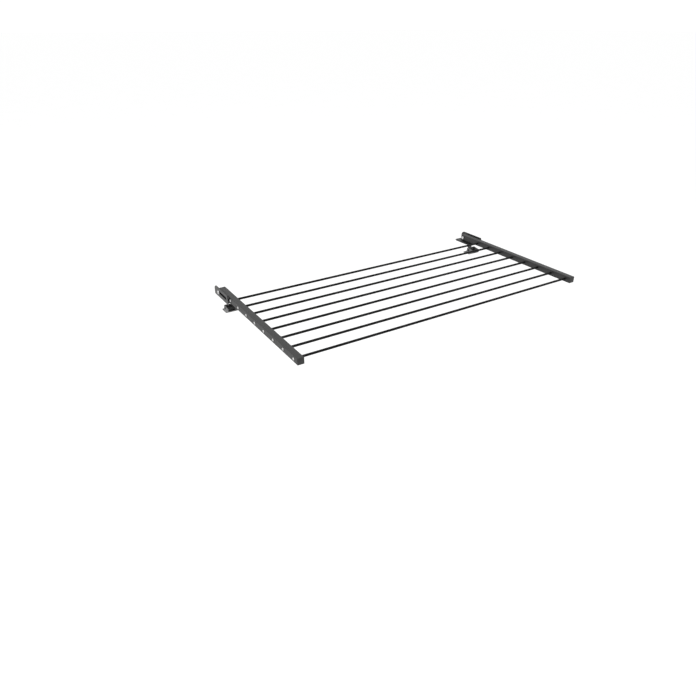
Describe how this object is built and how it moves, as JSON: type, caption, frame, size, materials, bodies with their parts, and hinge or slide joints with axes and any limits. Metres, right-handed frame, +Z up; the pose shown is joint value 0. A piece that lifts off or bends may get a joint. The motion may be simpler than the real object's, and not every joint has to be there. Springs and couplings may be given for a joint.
{
  "type": "handrail mounted fold down drying rack",
  "caption": "Balcony drying rack: long rods between two flat arms that slide and pivot in slotted brackets clamped to a handrail.",
  "frame": {"origin": "midway between the two brackets, on the top face of the handrail, straight below the pivot axis", "axes": "+X along the handrail and the rods, -Y the side the rack stands out to, +Z up"},
  "size_m": [1.327, 0.7045, 0.0875],
  "materials": {
    "arm_aluminium": "dark grey fine-texture powder coat, satin",
    "end_cap_plastic": "moulded black-grey plastic, fine spark texture",
    "rod_steel": "near-black powder coat, satin",
    "stainless_steel": "turned stainless steel",
    "bush_nylon": "black nylon",
    "bracket_steel": "dark grey fine-texture powder coat, satin",
    "fork_steel": "mid grey powder coat, satin",
    "black_steel": "black zinc plated steel",
    "pad_rubber": "black EPDM rubber"
  },
  "bodies": {
    "brackets": {"bracket_left": "bracket_steel", "bracket_right": "bracket_steel", "clamp_fork_left": "fork_steel", "clamp_fork_right": "fork_steel", "face_pad_left": "pad_rubber", "face_pad_right": "pad_rubber", "base_pad_left": "pad_rubber", "base_pad_right": "pad_rubber", "rest_pad_left": "bush_nylon", "rest_pad_right": "bush_nylon", "fork_bolt_left": "black_steel", "fork_bolt_right": "black_steel", "fork_nut_left": "black_steel", "fork_nut_right": "black_steel", "fork_spacer_left": "bush_nylon", "fork_spacer_right": "bush_nylon"},
    "pivots": {"pivot_bush_left": "bush_nylon", "pivot_bush_right": "bush_nylon"},
    "rack": {"arm_left": "arm_aluminium", "arm_right": "arm_aluminium", "front_cap_left": "end_cap_plastic", "front_cap_right": "end_cap_plastic", "rear_cap_left": "end_cap_plastic", "rear_cap_right": "end_cap_plastic", "rod_1": "rod_steel", "rod_2": "rod_steel", "rod_3": "rod_steel", "rod_4": "rod_steel", "rod_5": "rod_steel", "rod_6": "rod_steel", "rod_7": "rod_steel", "rod_8": "rod_steel", "rod_screws_left": "stainless_steel", "rod_screws_right": "stainless_steel", "pivot_screw_left": "stainless_steel", "pivot_screw_right": "stainless_steel", "pivot_washer_left": "stainless_steel", "pivot_washer_right": "stainless_steel", "pivot_nut_left": "stainless_steel", "pivot_nut_right": "stainless_steel"},
    "clamp_left": {"clamp_screw_left": "black_steel", "clamp_pad_left": "pad_rubber"},
    "clamp_right": {"clamp_screw_right": "black_steel", "clamp_pad_right": "pad_rubber"}
  },
  "joints": [
    {"name": "rack_slide", "type": "slide", "parent": "brackets", "child": "pivots", "axis": [0, -1, 0], "range_m": [0, 0.074]},
    {"name": "rack_lift", "type": "hinge", "parent": "pivots", "child": "rack", "pos_m": [0, 0, 0.0235], "axis": [-1, 0, 0], "range_deg": [0, 90]},
    {"name": "clamp_left_travel", "type": "slide", "parent": "brackets", "child": "clamp_left", "axis": [0, 0, -1], "range_m": [0, 0.0019]},
    {"name": "clamp_right_travel", "type": "slide", "parent": "brackets", "child": "clamp_right", "axis": [0, 0, -1], "range_m": [0, 0.0019]}
  ]
}
